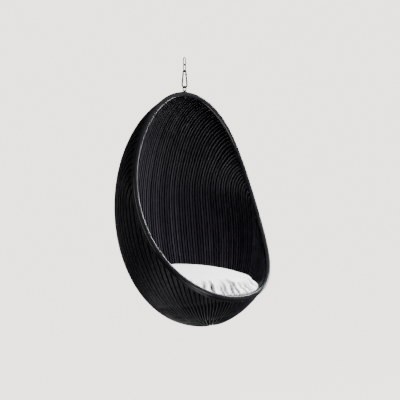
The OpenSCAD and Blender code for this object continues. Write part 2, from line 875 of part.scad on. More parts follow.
module saddle() {
    difference() {
        translate([-saddle_size[0] / 2, -saddle_size[1] / 2, rim_d / 2 - saddle_hold])
            cube([saddle_size[0], saddle_size[1], saddle_t + saddle_hold + fit_gap]);
        rotate([0, 90, 0])
            cylinder(h = 2 * saddle_size[0], r = rim_d / 2 + fit_gap, center = true, $fn = fine);
        cylinder(h = 2 * rim_d, d = shank_d + 2 * fit_gap, $fn = fine);
    }
}

module upper_saddle() {
    color(steel_grey) translate([0, 0, -seat_drop]) saddle();
}

module lower_saddle() {
    color(steel_grey) translate([0, 0, -seat_drop]) rotate([180, 0, 0]) saddle();
}

module eye_nut() {
    high = -seat_drop - rim_d / 2 - saddle_t - 2 * fit_gap;
    color(steel_grey) translate([0, 0, high - nut_h]) difference() {
        cylinder(h = nut_h, d = nut_af / cos(30), $fn = 6);
        translate([0, 0, -1]) cylinder(h = nut_h + 2, d = shank_d + 2 * pin_clearance, $fn = fine);
    }
}

// ---------------------------------------------------------------- assembly

rim_tube();
spine();
inner_weave();
outer_weave();
edge_bead();
hoop(0);  // hoop_01
hoop(1);  // hoop_02
hoop(2);  // hoop_03
hoop(3);  // hoop_04
hoop(4);  // hoop_05
hoop(5);  // hoop_06
hoop(6);  // hoop_07
hoop(7);  // hoop_08
hoop(8);  // hoop_09
hoop(9);  // hoop_10
hoop(10);  // hoop_11
hoop(11);  // hoop_12
hoop(12);  // hoop_13
hoop(13);  // hoop_14
hoop(14);  // hoop_15
hoop(15);  // hoop_16
hoop(16);  // hoop_17
hoop(17);  // hoop_18
hoop(18);  // hoop_19
cushion_cover();
cushion_filling();
upper_link();
lower_link();
hook_body();
hook_gate();
gate_pin();
gate_spring();
gate_plunger();
eye_bolt();
upper_saddle();
lower_saddle();
eye_nut();
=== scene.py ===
"""Looks of a hanging egg chair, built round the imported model.

Metres throughout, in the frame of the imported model: the origin is the bearing point inside the top
of the upper chain link, +Z is up, the sitter faces -Y and the chair is symmetric about X = 0.
"""

import logging
import math
from collections.abc import Sequence
from dataclasses import dataclass, field, replace
from typing import Literal

import bmesh
import bpy
import numpy as np
from mathutils import Matrix, Vector


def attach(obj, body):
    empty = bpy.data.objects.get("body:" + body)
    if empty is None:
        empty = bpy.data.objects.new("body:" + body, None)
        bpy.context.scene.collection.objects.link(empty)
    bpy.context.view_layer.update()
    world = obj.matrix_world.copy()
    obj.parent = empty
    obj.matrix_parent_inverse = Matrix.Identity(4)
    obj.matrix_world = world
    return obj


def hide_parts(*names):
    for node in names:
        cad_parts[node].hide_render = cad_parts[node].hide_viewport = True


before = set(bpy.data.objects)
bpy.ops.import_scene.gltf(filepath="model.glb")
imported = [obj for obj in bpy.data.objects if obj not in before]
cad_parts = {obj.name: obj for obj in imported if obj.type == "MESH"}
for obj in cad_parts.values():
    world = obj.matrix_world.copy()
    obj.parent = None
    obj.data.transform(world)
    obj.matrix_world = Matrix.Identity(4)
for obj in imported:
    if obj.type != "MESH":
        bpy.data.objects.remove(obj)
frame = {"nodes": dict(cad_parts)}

LOG = logging.getLogger("egg_chair")

FULL_TURN = 2.0 * math.pi

Row = np.ndarray
"""Numbers in a row."""

Points = np.ndarray
"""Rows of X, Y and Z."""

Pair = tuple[float, float]
Place = tuple[float, float, float]
Colour = tuple[float, float, float]
"""Linear red, green and blue."""

Tree = bpy.types.NodeTree
Node = bpy.types.Node
Socket = bpy.types.NodeSocket
Object = bpy.types.Object
Mesh = bpy.types.Mesh


def unit(rows: Points) -> Points:
    """Rows scaled to length one."""
    return rows / np.linalg.norm(rows, axis=-1, keepdims=True)


def walk(rows: Points) -> Row:
    """Distance walked along a line of points, from 0 at its start."""
    return np.concatenate([[0.0], np.cumsum(np.linalg.norm(np.diff(rows, axis=0), axis=1))])


def wrapped(angle: Row | float) -> Row | float:
    """An angle brought between minus half a turn and half a turn."""
    return (angle + math.pi) % FULL_TURN - math.pi


def smooth_step(x: Row | float, low: float, high: float) -> Row:
    """Rises smoothly from 0 at low to 1 at high."""
    k = np.clip((np.asarray(x, float) - low) / (high - low), 0.0, 1.0)
    return k * k * (3.0 - 2.0 * k)


# ---- the egg's shape


@dataclass(frozen=True)
class Profile:
    """One outline of the egg, from its foot (share 0) to its top (share 1).

    reach is the largest distance from the axis; foot and head say how full the ends are.
    """

    reach: float
    foot: float
    head: float

    @property
    def widest(self) -> float:
        """Share of the axis at which the outline is widest."""
        return self.foot / (self.foot + self.head)

    def at(self, share: Row) -> Row:
        """Distance from the axis at a share of it."""
        low = (share / self.widest) ** self.foot
        high = ((1.0 - share) / (1.0 - self.widest)) ** self.head
        return self.reach * low * high

    def slope(self, share: Row) -> Row:
        """Change of that distance with the share."""
        return self.at(share) * (self.foot / share - self.head / (1.0 - share))


@dataclass(frozen=True)
class Egg:
    """The egg's surface and the line that the rim follows on it.

    The egg's own frame has its origin at the foot: X across, Y behind, Z along the axis.
    """

    length: float = 1.220
    lean: float = math.radians(9.5)
    rim_drop: float = 0.19161
    side: Profile = Profile(0.416, 0.49, 0.50)
    back: Profile = Profile(0.462, 0.41, 0.53)
    front: Profile = Profile(0.478, 0.61, 0.53)
    lip_height: float = 0.130
    upper_pull: Pair = (-0.011, 0.812)
    lower_pull: Pair = (0.108, 0.497)
    rim_steps: int = 4000

    def depth(self, share: Row, angle: Row) -> Row:
        """Half depth at a share, behind or in front of the axis."""
        return np.where(np.cos(angle) >= 0, self.back.at(share), self.front.at(share))

    def own_point(self, share: Row, angle: Row) -> Points:
        """Surface points in the egg's own frame; angle 0 is the back and pi the front."""
        across = self.side.at(share) * np.sin(angle)
        behind = self.depth(share, angle) * np.cos(angle)
        return np.stack(np.broadcast_arrays(across, behind, share * self.length), -1)

    def own_normal(self, share: Row, angle: Row) -> Points:
        """Outward unit normals in the egg's own frame."""
        depth = self.depth(share, angle)
        side = self.side.at(share)
        backwards = np.cos(angle) >= 0
        depth_slope = np.where(backwards, self.back.slope(share), self.front.slope(share))
        sideways = -self.side.slope(share) * depth * np.sin(angle) ** 2
        along = sideways - depth_slope * side * np.cos(angle) ** 2
        across = self.length * depth * np.sin(angle)
        behind = self.length * side * np.cos(angle)
        return unit(np.stack(np.broadcast_arrays(across, behind, along), -1))

    def turned(self, rows: Points) -> Points:
        """Directions of the egg's own frame, turned into the chair's."""
        c, s = math.cos(self.lean), math.sin(self.lean)
        x, y, z = rows[..., 0], rows[..., 1], rows[..., 2]
        return np.stack([x, y * c + z * s, -y * s + z * c], -1)

    def placed(self, rows: Points) -> Points:
        """Points of the egg's own frame, put in the chair's."""
        moved = self.turned(rows - np.array([0.0, 0.0, self.length]))
        return moved + np.array([0.0, 0.0, -self.rim_drop])

    def surface(self, share: Row, angle: Row, level: Row | float = 0.0) -> Points:
        """Points that stand off the surface by a level, in the chair's frame."""
        level = np.broadcast_to(np.asarray(level, float), np.broadcast(share, angle).shape)
        own = self.own_point(share, angle) + level[..., None] * self.own_normal(share, angle)
        return self.placed(own)

    def normal(self, share: Row, angle: Row) -> Points:
        """Outward unit normals in the chair's frame."""
        return self.turned(self.own_normal(share, angle))

    def rim_view(self, s: Row) -> Points:
        """Side view of the rim, rows of (behind, height), for s from 0 (top) to 1 (lip)."""
        lip_share = self.lip_height / self.length
        knots = (
            (0.0, self.length),
            (self.upper_pull[0], self.upper_pull[1] * self.length),
            (self.lower_pull[0], self.lower_pull[1] * self.length),
            (-float(self.front.at(np.array(lip_share))), self.lip_height),
        )
        weights = ((1 - s) ** 3, 3 * (1 - s) ** 2 * s, 3 * (1 - s) * s**2, s**3)
        return sum(w[:, None] * np.array(knot) for w, knot in zip(weights, knots))

    def rim_behind(self, height: Row) -> Row:
        """How far behind the axis the rim is at a height."""
        view = self.rim_view(np.linspace(0.0, 1.0, self.rim_steps // 2 + 1))[::-1]
        return np.interp(height, view[:, 1], view[:, 0])

    def rim_loop(self, count: int) -> tuple[Row, Row]:
        """Shares and angles of an even number of points, evenly spaced round the rim.

        They start at the top and run down the right side; angles are negative on the left.
        """
        first = 0.0001  # the outlines close at the very top, so the walk starts just beside it
        crowded = np.linspace(0.0, 1.0, self.rim_steps + 1) ** 2  # the rim turns quickly there
        view = self.rim_view(crowded * (1.0 - first) + first)
        share = view[:, 1] / self.length
        reach = np.where(view[:, 0] >= 0, self.back.at(share), self.front.at(share))
        angle = np.arccos(np.clip(view[:, 0] / reach, -1.0, 1.0))
        own = self.own_point(share, angle)
        walked = walk(own)
        off_middle = own[0, 0]
        half = count // 2
        stops = np.linspace(-off_middle, walked[-1], half + 1)[:-1] + walked[-1] / half / 2
        stops = np.clip(stops, 0.0, walked[-1])
        right_share = np.interp(stops, walked, share)
        right_angle = np.interp(stops, walked, angle)
        return np.r_[right_share, right_share[::-1]], np.r_[right_angle, -right_angle[::-1]]


# ---- node helpers


def link(source: Socket, target: Socket) -> None:
    """Joins two sockets of one tree."""
    source.id_data.links.new(source, target)


def fill(node: Node, **values: object) -> None:
    """Sets a node's inputs by name; an underscore stands for a space."""
    for name, value in values.items():
        node.inputs[name.replace("_", " ")].default_value = value


def add_node(tree: Tree, kind: str, **settings: object) -> Node:
    """Adds a node; a setting whose name starts with a capital is an input's value."""
    node = tree.nodes.new(kind)
    for name, value in settings.items():
        if name[0].isupper():
            fill(node, **{name: value})
        else:
            setattr(node, name, value)
    return node


def noise(tree: Tree, scale: float, detail: float = 3.0) -> Socket:
    """Noise on Object coordinates, between 0 and 1."""
    place = add_node(tree, "ShaderNodeTexCoord")
    texture = add_node(tree, "ShaderNodeTexNoise", Scale=scale, Detail=detail)
    link(place.outputs["Object"], texture.inputs["Vector"])
    return texture.outputs["Fac"]


def ramp(tree: Tree, value: Socket, low: float, high: float) -> Socket:
    """A value between 0 and 1, spread from low to high."""
    spread = add_node(tree, "ShaderNodeMapRange", To_Min=low, To_Max=high)
    link(value, spread.inputs["Value"])
    return spread.outputs["Result"]


def blend(tree: Tree, factor: Socket) -> tuple[Socket, Socket, Socket]:
    """Mixes two colours by a factor; gives the sockets of both and of the result."""
    mix = add_node(tree, "ShaderNodeMix", data_type="RGBA")
    link(factor, mix.inputs["Factor"])
    first, second = (socket for socket in mix.inputs if socket.type == "RGBA")
    result = next(socket for socket in mix.outputs if socket.type == "RGBA")
    return first, second, result


def tint(tree: Tree, value: Socket, dark: Colour, pale: Colour) -> Socket:
    """A colour between dark and pale, by a value between 0 and 1."""
    first, second, result = blend(tree, value)
    first.default_value = (*dark, 1.0)
    second.default_value = (*pale, 1.0)
    return result


def bump(tree: Tree, shader: Node, height: Socket, strength: float, depth: float) -> None:
    """Feeds a height to the shader's normal."""
    node = add_node(tree, "ShaderNodeBump", Strength=strength, Distance=depth)
    link(height, node.inputs["Height"])
    link(node.outputs["Normal"], shader.inputs["Normal"])


# ---- finishes


class Finish:
    """A procedural finish; a subclass has a name and wires its own nodes."""

    name: str

    def material(self) -> bpy.types.Material:
        """The finish's material, made once."""
        made = bpy.data.materials.get(self.name)
        if made is None:
            made = bpy.data.materials.new(self.name)
            made.use_nodes = True
            self.wire(made.node_tree, made.node_tree.nodes["Principled BSDF"])
        return made

    def wire(self, tree: Tree, shader: Node) -> None:
        """Sets the shader and adds the nodes that feed it."""
        raise NotImplementedError

    def wear(self, obj: Object) -> None:
        """Puts the finish on an object as its only material."""
        obj.data.materials.clear()
        obj.data.materials.append(self.material())


@dataclass(frozen=True)
class CoatFinish(Finish):
    """A hard surface whose colour, gloss and level wander a little.

    The colour goes from dark to pale by noise of the scale clouds or, without one, by the
    attribute tone. patches is the noise scale of the roughness and spread how far that wanders
    down and up. grain is the bump's noise scale, detail, strength and depth.
    """

    name: str
    dark: Colour
    pale: Colour
    roughness: float
    spread: Pair
    patches: float
    grain: tuple[float, ...]
    clouds: float | None = None
    gloss: float = 0.5
    metallic: float = 0.0

    def wire(self, tree: Tree, shader: Node) -> None:
        """Colour, roughness and grain."""
        fill(shader, Metallic=self.metallic, Specular_IOR_Level=self.gloss)
        if self.clouds is None:
            shade = add_node(tree, "ShaderNodeAttribute", attribute_name="tone").outputs["Fac"]
        else:
            shade = noise(tree, self.clouds)
        link(tint(tree, shade, self.dark, self.pale), shader.inputs["Base Color"])
        down, up = self.spread
        rough = ramp(tree, noise(tree, self.patches), self.roughness - down, self.roughness + up)
        link(rough, shader.inputs["Roughness"])
        scale, detail, strength, depth = self.grain
        bump(tree, shader, noise(tree, scale, detail), strength, depth)


STRAND = CoatFinish(
    name="black_strand",
    dark=(0.0140, 0.0132, 0.0172),
    pale=(0.0310, 0.0292, 0.0368),
    roughness=0.32,
    spread=(0.08, 0.10),
    patches=60.0,
    grain=(700.0, 2.0, 0.06, 0.0002),
)
# Darker copy of the strand finish, with painted shade where tapes, hoops and spine lie between
# layers.
SHADE_PAINTED_STRAND = replace(
    STRAND,
    name="painted_shade_black",
    dark=(0.0012, 0.0012, 0.0015),
    pale=(0.0020, 0.0020, 0.0024),
    roughness=0.8,
    gloss=0.1,
)
LACQUER = CoatFinish(
    name="black_lacquer",
    dark=(0.005, 0.005, 0.006),
    pale=(0.011, 0.011, 0.012),
    roughness=0.16,
    spread=(0.05, 0.06),
    patches=90.0,
    grain=(900.0, 1.0, 0.015, 0.0001),
    clouds=25.0,
    gloss=0.4,
)
ZINC = CoatFinish(
    name="bright_zinc",
    dark=(0.06, 0.062, 0.066),
    pale=(0.20, 0.205, 0.215),
    roughness=0.20,
    spread=(0.10, 0.14),
    patches=320.0,
    grain=(2500.0, 2.0, 0.12, 0.0001),
    clouds=160.0,
    metallic=1.0,
)
SPRING_STEEL = replace(ZINC, name="spring_steel")


@dataclass(frozen=True)
class ClothFinish(Finish):
    """White cotton canvas, with painted shade mixed into its colour along the cushion's gathers."""

    name: str = "white_canvas"
    dark: Colour = (0.82, 0.82, 0.84)
    pale: Colour = (0.90, 0.90, 0.91)
    # The dark tone of the painted shade along the gathers.
    painted_crease_shade: Colour = (0.05, 0.055, 0.07)
    clouds: float = 14.0
    roughness: float = 0.85
    sheen: float = 0.25
    gloss: float = 0.25
    thread: float = 0.0009
    thread_wander: float = 0.6
    thread_strength: float = 0.25
    thread_depth: float = 0.0003

    def wire(self, tree: Tree, shader: Node) -> None:
        """A plain weave of threads, faint random changes of tone, painted shade along the gathers and
        a soft sheen.
        """
        fill(shader, Roughness=self.roughness, Sheen_Weight=self.sheen, Specular_IOR_Level=self.gloss)
        # Painted shade: the cover's colour is mixed towards the dark tone where the gathers lie.
        painted_fold_shade = add_node(tree, "ShaderNodeAttribute", attribute_name="painted_fold_shade")
        plain, painted_shade_slot, cover_with_painted_shade = blend(tree, painted_fold_shade.outputs["Fac"])
        link(tint(tree, noise(tree, self.clouds), self.dark, self.pale), plain)
        painted_shade_slot.default_value = (*self.painted_crease_shade, 1.0)
        link(cover_with_painted_shade, shader.inputs["Base Color"])
        bump(tree, shader, self.threads(tree), self.thread_strength, self.thread_depth)

    def threads(self, tree: Tree) -> Socket:
        """Height of two sets of threads that cross."""
        place = add_node(tree, "ShaderNodeTexCoord")
        weave = add_node(tree, "ShaderNodeMath", operation="MAXIMUM")
        for direction, socket in zip("XY", weave.inputs):
            wave = add_node(tree, "ShaderNodeTexWave", bands_direction=direction)
            fill(wave, Scale=1.0 / (FULL_TURN * self.thread), Distortion=self.thread_wander)
            link(place.outputs["Object"], wave.inputs["Vector"])
            link(wave.outputs["Fac"], socket)
        return weave.outputs["Value"]


@dataclass(frozen=True)
class PaleFloorFinish(Finish):
    """The plain pale floor: one even, matt tone with a trace of grain."""

    name: str = "pale_floor"
    glow: Colour = (3.05, 2.9219, 2.7755)
    grain: float = 0.005
    clouds: float = 3.0
    base: Colour = (0.05, 0.05, 0.05)
    roughness: float = 0.9
    gloss: float = 0.1

    def wire(self, tree: Tree, shader: Node) -> None:
        """A tone that doesn't hang on the lights."""
        fill(shader, Base_Color=(*self.base, 1.0), Roughness=self.roughness)
        fill(shader, Specular_IOR_Level=self.gloss, Emission_Strength=1.0)
        dimmer = tuple(part * (1.0 - self.grain) for part in self.glow)
        tone = tint(tree, noise(tree, self.clouds), dimmer, self.glow)
        link(tone, shader.inputs["Emission Color"])


# ---- meshes and sweeps


def new_object(name: str, data: bpy.types.ID) -> Object:
    """A new object in the scene."""
    obj = bpy.data.objects.new(name, data)
    bpy.context.scene.collection.objects.link(obj)
    return obj


def settle(obj: Object) -> None:
    """Keeps what an object's modifiers make as its plain mesh."""
    bpy.context.view_layer.update()
    depsgraph = bpy.context.evaluated_depsgraph_get()
    mesh = bpy.data.meshes.new_from_object(obj.evaluated_get(depsgraph), depsgraph=depsgraph)
    obj.modifiers.clear()
    obj.data = mesh


def places(mesh: Mesh) -> Points:
    """The points of a mesh."""
    rows = np.empty(3 * len(mesh.vertices))
    mesh.vertices.foreach_get("co", rows)
    return rows.reshape(-1, 3)


def normals(mesh: Mesh) -> Points:
    """The outward direction at each point of a mesh."""
    rows = np.empty(3 * len(mesh.vertices))
    mesh.vertex_normals.foreach_get("vector", rows)
    return rows.reshape(-1, 3)


def move(mesh: Mesh, rows: Points) -> None:
    """Puts the points of a mesh elsewhere."""
    mesh.vertices.foreach_set("co", rows.ravel())
    mesh.update()


def keep_values(mesh: Mesh, name: str, values: Row) -> None:
    """Keeps one number for each point of a mesh as an attribute."""
    attribute = mesh.attributes.new(name, "FLOAT", "POINT")
    attribute.data.foreach_set("value", values.astype(np.float32))


def band(low: int, high: int, n: int) -> list[tuple[int, ...]]:
    """Faces between two rings of n points, whose first points have the given numbers."""
    return [(low + j, low + (j + 1) % n, high + (j + 1) % n, high + j) for j in range(n)]


@dataclass
class Chain:
    """A line for a sweep.

    outward is the direction of the section's thickness at each point, girth a factor on the
    section's size and tone a number that tells one line's shade from another's.
    """

    points: Points
    outward: Points
    girth: Row | float = 1.0
    closed: bool = False
    tone: float = 0.5


def chain_object(name: str, chains: Sequence[Chain]) -> Object:
    """An object whose mesh is bare edge chains with the attributes that a sweep reads."""
    edges: list[tuple[int, int]] = []
    start = 0
    for chain in chains:
        n = len(chain.points)
        edges += [(start + i, start + i + 1) for i in range(n - 1)]
        if chain.closed:
            edges.append((start + n - 1, start))
        start += n
    mesh = bpy.data.meshes.new(name)
    mesh.from_pydata(np.concatenate([c.points for c in chains]).tolist(), edges, [])
    outward = np.concatenate([c.outward for c in chains]).astype(np.float32)
    attribute = mesh.attributes.new("outward", "FLOAT_VECTOR", "POINT")
    attribute.data.foreach_set("vector", outward.ravel())
    for kind in ("girth", "tone"):
        rows = [np.broadcast_to(getattr(c, kind), len(c.points)) for c in chains]
        keep_values(mesh, kind, np.concatenate(rows))
    return new_object(name, mesh)


@dataclass
class SweepTree:
    """Geometry Nodes group that sweeps an oval or a bar along every chain of edges in a mesh."""

    section: Literal["oval", "bar"]
    corner_radius: float = 0.0005
    group: Tree = field(init=False)

    def __post_init__(self) -> None:
        """Builds the group."""
        self.group = bpy.data.node_groups.new(f"sweep_{self.section}", "GeometryNodeTree")
        sockets = self.group.interface
        floats = {"Width": "Float", "Thickness": "Float"}
        inputs = {"Chains": "Geometry", **floats, "Sides": "Int", "Finish": "Material"}
        for name, kind in inputs.items():
            sockets.new_socket(name, in_out="INPUT", socket_type=f"NodeSocket{kind}")
        sockets.new_socket("Swept", in_out="OUTPUT", socket_type="NodeSocketGeometry")
        self._wire()

    def _wire(self) -> None:
        """Adds the nodes and joins them."""
        tree = self.group
        entry = add_node(tree, "NodeGroupInput")
        chain = add_node(tree, "GeometryNodeMeshToCurve")
        facing = add_node(tree, "GeometryNodeSetCurveNormal", mode="FREE")
        sweep = add_node(tree, "GeometryNodeCurveToMesh", Fill_Caps=True)
        smooth = add_node(tree, "GeometryNodeSetShadeSmooth")
        finish = add_node(tree, "GeometryNodeSetMaterial")
        leave = add_node(tree, "NodeGroupOutput")
        link(entry.outputs["Chains"], chain.inputs["Mesh"])
        link(chain.outputs["Curve"], facing.inputs["Curve"])
        link(self._attribute("outward", "FLOAT_VECTOR"), facing.inputs["Normal"])
        link(facing.outputs["Curve"], sweep.inputs["Curve"])
        link(self._outline(entry), sweep.inputs["Profile Curve"])
        link(self._attribute("girth", "FLOAT"), sweep.inputs["Scale"])
        link(sweep.outputs["Mesh"], smooth.inputs["Geometry"])
        link(smooth.outputs["Geometry"], finish.inputs["Geometry"])
        link(entry.outputs["Finish"], finish.inputs["Material"])
        link(finish.outputs["Geometry"], leave.inputs["Swept"])

    def _attribute(self, name: str, kind: str) -> Socket:
        """An attribute that the chains carry."""
        node = add_node(self.group, "GeometryNodeInputNamedAttribute", data_type=kind, Name=name)
        return node.outputs["Attribute"]

    def _outline(self, entry: Node) -> Socket:
        """The section's closed outline; its X side is the thickness."""
        tree = self.group
        if self.section == "bar":
            quad = add_node(tree, "GeometryNodeCurvePrimitiveQuadrilateral")
            link(entry.outputs["Width"], quad.inputs["Height"])
            link(entry.outputs["Thickness"], quad.inputs["Width"])
            corner = add_node(tree, "GeometryNodeFilletCurve", Radius=self.corner_radius)
            link(quad.outputs["Curve"], corner.inputs["Curve"])
            return corner.outputs["Curve"]
        circle = add_node(tree, "GeometryNodeCurvePrimitiveCircle", Radius=0.5)
        link(entry.outputs["Sides"], circle.inputs["Resolution"])
        size = add_node(tree, "ShaderNodeCombineXYZ", Z=1.0)
        link(entry.outputs["Thickness"], size.inputs["X"])
        link(entry.outputs["Width"], size.inputs["Y"])
        oval = add_node(tree, "GeometryNodeTransform")
        link(circle.outputs["Curve"], oval.inputs["Geometry"])
        link(size.outputs["Vector"], oval.inputs["Scale"])
        return oval.outputs["Geometry"]

    def along(
        self, name: str, chains: Sequence[Chain], finish: Finish, *size: float, sides: int = 8
    ) -> Object:
        """Sweeps the section, of a width and a thickness, along chains as a plain mesh."""
        obj = chain_object(name, chains)
        modifier = obj.modifiers.new("build", "NODES")
        modifier.node_group = self.group
        width, thickness = size
        values = {"Width": width, "Thickness": thickness, "Sides": sides, "Finish": finish.material()}
        for item in self.group.interface.items_tree:
            if item.name in values:
                modifier[item.identifier] = values[item.name]
        settle(obj)
        return obj


def ride(obj: Object, body: str, slot: str, *nodes: str) -> None:
    """Makes a piece ride on a body and hides the nodes that it stands for; its slot is not used."""
    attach(obj, body)
    if nodes:
        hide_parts(*nodes)
    LOG.info("%s rides on %s and stands for %s", obj.name, body, ", ".join(nodes) or "no node")


# ---- frame


@dataclass
class Frame:
    """The rim tube, its edge bead, the hoops and the spine; sizes are a width and a thickness.

    rings are the heights of the whole hoops as shares of the lip's height. The spine's top is at
    the share spine_top of the axis; its back and front leave the shares spine_foot of their runs
    open at the foot.
    """

    egg: Egg
    rim_diameter: float = 0.028
    rim_points: int = 260
    rim_sides: int = 32
    bead_diameter: float = 0.005
    bead_level: float = 0.0080
    bead_sides: int = 10
    hoop_size: Pair = (0.010, 0.003)
    hoop_level: float = -0.0040
    hoop_end_gap: float = 0.021
    hoop_points: int = 97
    open_hoops: int = 16
    first_drop: float = 0.055
    last_rise: float = 0.060
    rings: tuple[float, ...] = (0.8, 0.38, 0.1)
    spine_size: Pair = (0.015, 0.0016)
    spine_level: float = -0.0014
    spine_top: float = 0.9985
    spine_lip_gap: float = 0.020
    spine_foot: Pair = (0.02, 0.05)
    spine_points: tuple[int, int] = (150, 40)

    @property
    def hoop_heights(self) -> Row:
        """Heights of the hoops along the axis, from the highest down."""
        low = self.egg.lip_height + self.last_rise
        high = self.egg.length - self.first_drop
        rings = np.array(self.rings) * self.egg.lip_height
        return np.concatenate([np.linspace(high, low, self.open_hoops), rings])

    def beside_rim(self, reach: float, level: float) -> Chain:
        """A closed line that keeps a place beside the rim's line."""
        share, angle = self.egg.rim_loop(self.rim_points)
        points = self.egg.surface(share, angle)
        up = self.egg.normal(share, angle)
        tangent = unit(np.roll(points, -1, 0) - np.roll(points, 1, 0))
        inward = unit(np.cross(up, tangent))
        normal = np.cross(tangent, inward)
        return Chain(points + reach * inward + level * normal, normal, closed=True)

    def build(self, oval: SweepTree, bar: SweepTree) -> None:
        """Builds the rim, the bead, the hoops and the spine."""
        size = self.rim_diameter
        line = self.beside_rim(0.0, 0.0)
        rim = oval.along("rim", [line], LACQUER, size, size, sides=self.rim_sides)
        ride(rim, "chair", "rim_black", "rim_tube")
        reach = math.sqrt(((size + self.bead_diameter) / 2) ** 2 - self.bead_level**2)
        size = self.bead_diameter
        line = self.beside_rim(reach, self.bead_level)
        bead = oval.along("bead", [line], STRAND, size, size, sides=self.bead_sides)
        ride(bead, "chair", "strand_black", "edge_bead")
        for index, height in enumerate(self.hoop_heights):
            self.build_hoop(index, height, bar)
        self.build_spine(bar)

    def build_hoop(self, index: int, height: float, bar: SweepTree) -> None:
        """One hoop, open above the lip and a whole ring below it."""
        share = height / self.egg.length
        whole = index >= self.open_hoops
        if whole:
            angle = np.linspace(-math.pi, math.pi, self.hoop_points)[:-1]
        else:
            limit = self.rim_limit(share) - self.hoop_end_gap / float(self.egg.side.at(share))
            angle = np.linspace(-limit, limit, self.hoop_points)
        shares = np.full_like(angle, share)
        points = self.egg.surface(shares, angle, self.hoop_level)
        chain = Chain(points, self.egg.normal(shares, angle), closed=whole)
        name = f"hoop_bar_{index + 1:02d}"
        # The hoop wears the darker strand copy, with painted shade.
        hoop = bar.along(name, [chain], SHADE_PAINTED_STRAND, *self.hoop_size)
        ride(hoop, "chair", "frame_black", f"hoop_{index + 1:02d}")

    def rim_limit(self, share: float) -> float:
        """Angle from the back at which the rim crosses a share of the axis."""
        behind = float(self.egg.rim_behind(share * self.egg.length))
        reach = (self.egg.back if behind >= 0 else self.egg.front).at(share)
        return math.acos(max(-1.0, min(1.0, behind / float(reach))))

    def build_spine(self, bar: SweepTree) -> None:
        """The strip in the middle plane, from the rim's top round the foot to the lip."""
        back_count, front_count = self.spine_points
        back_foot, front_foot = self.spine_foot
        back = np.sin(np.linspace(1.0, back_foot, back_count) * math.pi / 2) ** 2 * self.spine_top
        front_top = (self.egg.lip_height - self.spine_lip_gap) / self.egg.length
        front = np.linspace(front_foot, 1.0, front_count) ** 2 * front_top
        share = np.concatenate([back, front])
        angle = np.concatenate([np.zeros_like(back), np.full_like(front, math.pi)])
        points = self.egg.surface(share, angle, self.spine_level)
        chain = Chain(points, self.egg.normal(share, angle))
        # The spine wears the darker strand copy, with painted shade.
        spine = bar.along("spine_strip", [chain], SHADE_PAINTED_STRAND, *self.spine_size)
        ride(spine, "chair", "frame_black", "spine")


# ---- weave


@dataclass(frozen=True)
class Strands:
    """How the strands of one layer lie, and their size.

    phase is where a strand lies in its pitch, level its middle's distance from the egg's surface
    at a hoop, pull a factor on how it leans outwards between hoops and at a tucked end, kept which
    strand of two stays where every second one drops out, pairing how far they are drawn together
    in pairs, size their width and thickness, taper the share of its girth that a strand loses at
    its lower end, and nodes what the layer stands for.
    """

    phase: float
    level: float
    pull: float
    kept: int
    pairing: float
    girths: Pair
    size: Pair = (0.0080, 0.0060)
    sides: int = 8
    taper: float = 0.35
    finish: Finish = STRAND
    nodes: tuple[str, ...] = ()


LAYERS = {
    "inner": Strands(0.25, -0.0080, 1.0, 0, 0.03, (0.55, 0.98), nodes=("inner_weave",)),
    # The core tapes wear the darker strand copy, with painted shade.
    "core": Strands(
        0.75, -0.0014, -2.0, 1, 0.0, (1.0, 4.0), (0.0192, 0.0022), 6, 0.0, SHADE_PAINTED_STRAND
    ),
    "outer": Strands(0.75, 0.0023, -1.0, 1, 0.15, (0.42, 0.74), nodes=("outer_weave",)),
}
"""The layers of strands: two that show, and flat core tapes between them."""


